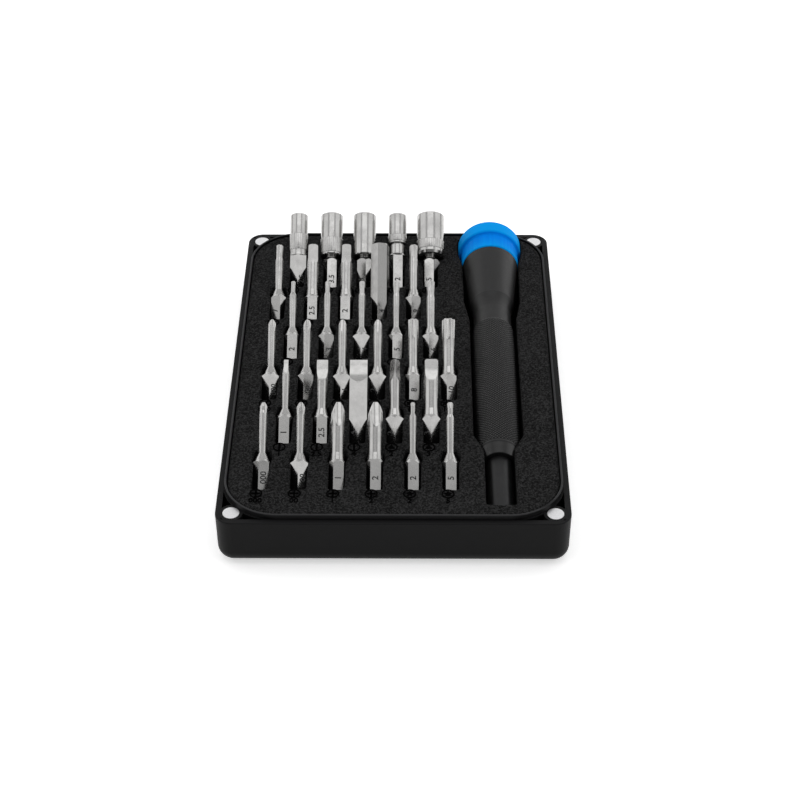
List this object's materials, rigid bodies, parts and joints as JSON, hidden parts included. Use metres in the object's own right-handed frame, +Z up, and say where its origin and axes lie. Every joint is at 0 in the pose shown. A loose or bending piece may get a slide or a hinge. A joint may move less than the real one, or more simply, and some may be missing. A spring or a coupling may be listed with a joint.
{
  "type": "precision screwdriver set",
  "caption": "Pocket tray with a foam insert that holds rows of short hex bits standing at a slope beside a slim driver with a free-turning cap.",
  "frame": {"origin": "middle of the tray's flat underside", "axes": "+Z up, +Y to the back of the tray, where the bits' tips point and the driver's cap lies, +X to the driver's side"},
  "size_m": [0.0764, 0.1122, 0.0228],
  "materials": {
    "tray_plastic": "fine satin texture",
    "foam": "matte closed-cell foam with an open grain",
    "magnet": "bright nickel plating",
    "grip_plastic": "satin with a fine crossed knurl",
    "collar_plastic": "smooth satin",
    "dark_steel": "black oxide, satin",
    "pin_steel": "ground",
    "bearing_steel": "ground and polished",
    "blue_plastic": "satin",
    "bit_steel": "satin blasted"
  },
  "bodies": {
    "tray": {"tray_shell": "tray_plastic", "foam_insert": "foam", "tray_magnets": "magnet"},
    "driver": {"handle": "grip_plastic", "nose_collar": "collar_plastic", "bit_holder": "dark_steel", "holder_magnet": "magnet", "cap_spindle": "pin_steel", "bearing_inner_race": "bearing_steel", "bearing_balls": "bearing_steel", "spindle_clip": "pin_steel"},
    "cap": {"swivel_cap": "blue_plastic", "bearing_outer_race": "bearing_steel"},
    "bit_cross_000": {"bit_cross_000": "bit_steel"},
    "bit_cross_00": {"bit_cross_00": "bit_steel"},
    "bit_cross_1": {"bit_cross_1": "bit_steel"},
    "bit_cross_2": {"bit_cross_2": "bit_steel"},
    "bit_five_lobe_2": {"bit_five_lobe_2": "bit_steel"},
    "bit_five_lobe_5": {"bit_five_lobe_5": "bit_steel"},
    "bit_flat_1_0": {"bit_flat_1_0": "bit_steel"},
    "bit_flat_2_5": {"bit_flat_2_5": "bit_steel"},
    "bit_flat_4_0": {"bit_flat_4_0": "bit_steel"},
    "bit_triangle_2": {"bit_triangle_2": "bit_steel"},
    "bit_triangle_3": {"bit_triangle_3": "bit_steel"},
    "bit_fine_cross_000": {"bit_fine_cross_000": "bit_steel"},
    "bit_fine_cross_00": {"bit_fine_cross_00": "bit_steel"},
    "bit_three_wing_1": {"bit_three_wing_1": "bit_steel"},
    "bit_three_wing_2": {"bit_three_wing_2": "bit_steel"},
    "bit_star_8": {"bit_star_8": "bit_steel"},
    "bit_star_10": {"bit_star_10": "bit_steel"},
    "bit_star_2": {"bit_star_2": "bit_steel"},
    "bit_star_3": {"bit_star_3": "bit_steel"},
    "bit_star_4": {"bit_star_4": "bit_steel"},
    "bit_star_5": {"bit_star_5": "bit_steel"},
    "bit_star_6": {"bit_star_6": "bit_steel"},
    "bit_star_7": {"bit_star_7": "bit_steel"},
    "bit_hex_medium": {"bit_hex_medium": "bit_steel"},
    "bit_hex_small": {"bit_hex_small": "bit_steel"},
    "bit_hex_large": {"bit_hex_large": "bit_steel"},
    "bit_star_bored": {"bit_star_bored": "bit_steel"},
    "bit_socket_2_5": {"bit_socket_2_5": "bit_steel"},
    "bit_socket_3_5": {"bit_socket_3_5": "bit_steel"},
    "bit_socket_3_0": {"bit_socket_3_0": "bit_steel"},
    "bit_socket_2_0": {"bit_socket_2_0": "bit_steel"},
    "bit_socket_5_0": {"bit_socket_5_0": "bit_steel"}
  },
  "joints": [
    {"name": "driver_lift", "type": "slide", "parent": "tray", "child": "driver", "axis": [0, 0, 1], "range_m": [0, 0.02]},
    {"name": "cap_spin", "type": "hinge", "parent": "driver", "child": "cap", "pos_m": [0.0233, 0.04547, 0.01134], "axis": [0, 0.9997, 0.0234], "continuous": true},
    {"name": "bit_cross_000_pull", "type": "slide", "parent": "tray", "child": "bit_cross_000", "axis": [0, 0.8192, 0.5736], "range_m": [0, 0.02]},
    {"name": "bit_cross_00_pull", "type": "slide", "parent": "tray", "child": "bit_cross_00", "axis": [0, 0.8192, 0.5736], "range_m": [0, 0.02]},
    {"name": "bit_cross_1_pull", "type": "slide", "parent": "tray", "child": "bit_cross_1", "axis": [0, 0.8192, 0.5736], "range_m": [0, 0.02]},
    {"name": "bit_cross_2_pull", "type": "slide", "parent": "tray", "child": "bit_cross_2", "axis": [0, 0.8192, 0.5736], "range_m": [0, 0.02]},
    {"name": "bit_five_lobe_2_pull", "type": "slide", "parent": "tray", "child": "bit_five_lobe_2", "axis": [0, 0.8192, 0.5736], "range_m": [0, 0.02]},
    {"name": "bit_five_lobe_5_pull", "type": "slide", "parent": "tray", "child": "bit_five_lobe_5", "axis": [0, 0.8192, 0.5736], "range_m": [0, 0.02]},
    {"name": "bit_flat_1_0_pull", "type": "slide", "parent": "tray", "child": "bit_flat_1_0", "axis": [0, 0.8192, 0.5736], "range_m": [0, 0.02]},
    {"name": "bit_flat_2_5_pull", "type": "slide", "parent": "tray", "child": "bit_flat_2_5", "axis": [0, 0.8192, 0.5736], "range_m": [0, 0.02]},
    {"name": "bit_flat_4_0_pull", "type": "slide", "parent": "tray", "child": "bit_flat_4_0", "axis": [0, 0.8192, 0.5736], "range_m": [0, 0.02]},
    {"name": "bit_triangle_2_pull", "type": "slide", "parent": "tray", "child": "bit_triangle_2", "axis": [0, 0.8192, 0.5736], "range_m": [0, 0.02]},
    {"name": "bit_triangle_3_pull", "type": "slide", "parent": "tray", "child": "bit_triangle_3", "axis": [0, 0.8192, 0.5736], "range_m": [0, 0.02]},
    {"name": "bit_fine_cross_000_pull", "type": "slide", "parent": "tray", "child": "bit_fine_cross_000", "axis": [0, 0.8192, 0.5736], "range_m": [0, 0.02]},
    {"name": "bit_fine_cross_00_pull", "type": "slide", "parent": "tray", "child": "bit_fine_cross_00", "axis": [0, 0.8192, 0.5736], "range_m": [0, 0.02]},
    {"name": "bit_three_wing_1_pull", "type": "slide", "parent": "tray", "child": "bit_three_wing_1", "axis": [0, 0.8192, 0.5736], "range_m": [0, 0.02]},
    {"name": "bit_three_wing_2_pull", "type": "slide", "parent": "tray", "child": "bit_three_wing_2", "axis": [0, 0.8192, 0.5736], "range_m": [0, 0.02]},
    {"name": "bit_star_8_pull", "type": "slide", "parent": "tray", "child": "bit_star_8", "axis": [0, 0.8192, 0.5736], "range_m": [0, 0.02]},
    {"name": "bit_star_10_pull", "type": "slide", "parent": "tray", "child": "bit_star_10", "axis": [0, 0.8192, 0.5736], "range_m": [0, 0.02]},
    {"name": "bit_star_2_pull", "type": "slide", "parent": "tray", "child": "bit_star_2", "axis": [0, 0.8192, 0.5736], "range_m": [0, 0.02]},
    {"name": "bit_star_3_pull", "type": "slide", "parent": "tray", "child": "bit_star_3", "axis": [0, 0.8192, 0.5736], "range_m": [0, 0.02]},
    {"name": "bit_star_4_pull", "type": "slide", "parent": "tray", "child": "bit_star_4", "axis": [0, 0.8192, 0.5736], "range_m": [0, 0.02]},
    {"name": "bit_star_5_pull", "type": "slide", "parent": "tray", "child": "bit_star_5", "axis": [0, 0.8192, 0.5736], "range_m": [0, 0.02]},
    {"name": "bit_star_6_pull", "type": "slide", "parent": "tray", "child": "bit_star_6", "axis": [0, 0.8192, 0.5736], "range_m": [0, 0.02]},
    {"name": "bit_star_7_pull", "type": "slide", "parent": "tray", "child": "bit_star_7", "axis": [0, 0.8192, 0.5736], "range_m": [0, 0.02]},
    {"name": "bit_hex_medium_pull", "type": "slide", "parent": "tray", "child": "bit_hex_medium", "axis": [0, 0.8192, 0.5736], "range_m": [0, 0.02]},
    {"name": "bit_hex_small_pull", "type": "slide", "parent": "tray", "child": "bit_hex_small", "axis": [0, 0.8192, 0.5736], "range_m": [0, 0.02]},
    {"name": "bit_hex_large_pull", "type": "slide", "parent": "tray", "child": "bit_hex_large", "axis": [0, 0.8192, 0.5736], "range_m": [0, 0.02]},
    {"name": "bit_star_bored_pull", "type": "slide", "parent": "tray", "child": "bit_star_bored", "axis": [0, 0.8192, 0.5736], "range_m": [0, 0.02]},
    {"name": "bit_socket_2_5_pull", "type": "slide", "parent": "tray", "child": "bit_socket_2_5", "axis": [0, 0.8192, 0.5736], "range_m": [0, 0.02]},
    {"name": "bit_socket_3_5_pull", "type": "slide", "parent": "tray", "child": "bit_socket_3_5", "axis": [0, 0.8192, 0.5736], "range_m": [0, 0.02]},
    {"name": "bit_socket_3_0_pull", "type": "slide", "parent": "tray", "child": "bit_socket_3_0", "axis": [0, 0.8192, 0.5736], "range_m": [0, 0.02]},
    {"name": "bit_socket_2_0_pull", "type": "slide", "parent": "tray", "child": "bit_socket_2_0", "axis": [0, 0.8192, 0.5736], "range_m": [0, 0.02]},
    {"name": "bit_socket_5_0_pull", "type": "slide", "parent": "tray", "child": "bit_socket_5_0", "axis": [0, 0.8192, 0.5736], "range_m": [0, 0.02]}
  ]
}
